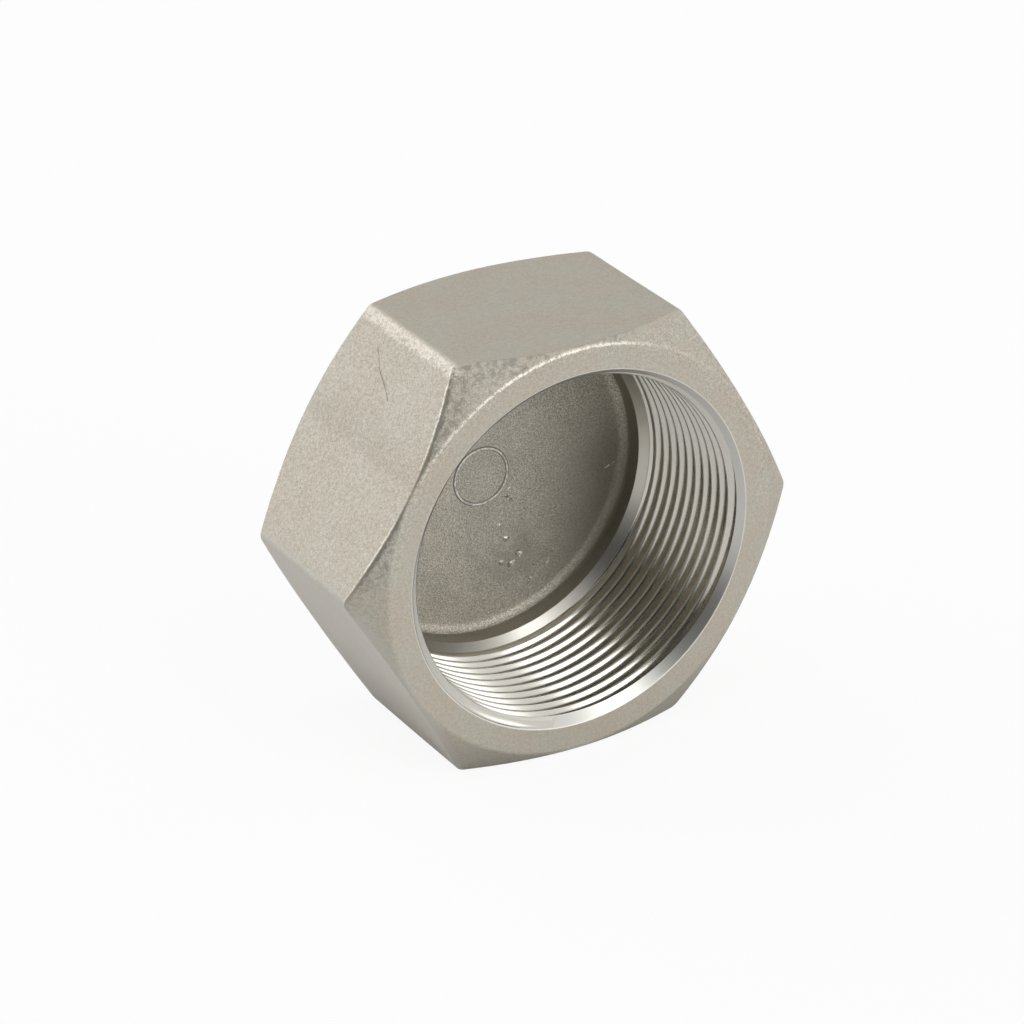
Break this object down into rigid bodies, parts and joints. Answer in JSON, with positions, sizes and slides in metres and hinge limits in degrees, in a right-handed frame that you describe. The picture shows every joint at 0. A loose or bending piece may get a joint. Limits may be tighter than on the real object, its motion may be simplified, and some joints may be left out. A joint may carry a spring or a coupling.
{
  "type": "hex pipe cap",
  "caption": "Hexagonal cast stainless steel pipe cap with an internal parallel pipe thread, which screws over the end of a pipe to close it.",
  "frame": {"origin": "middle of the footprint, in the plane of the flat that the cap lies on", "axes": "-Y along the bore axis, out of the open mouth; +Z square to the flat that the cap lies on; +X to the right, seen into the mouth"},
  "size_m": [0.0792, 0.0342, 0.069],
  "materials": {
    "cap": "matte cast stainless steel skin outside and on the floor of the hollow, bright turned steel on the countersink, thread and run-out cone"
  },
  "bodies": {
    "root": {"cap": "cap"}
  },
  "joints": []
}
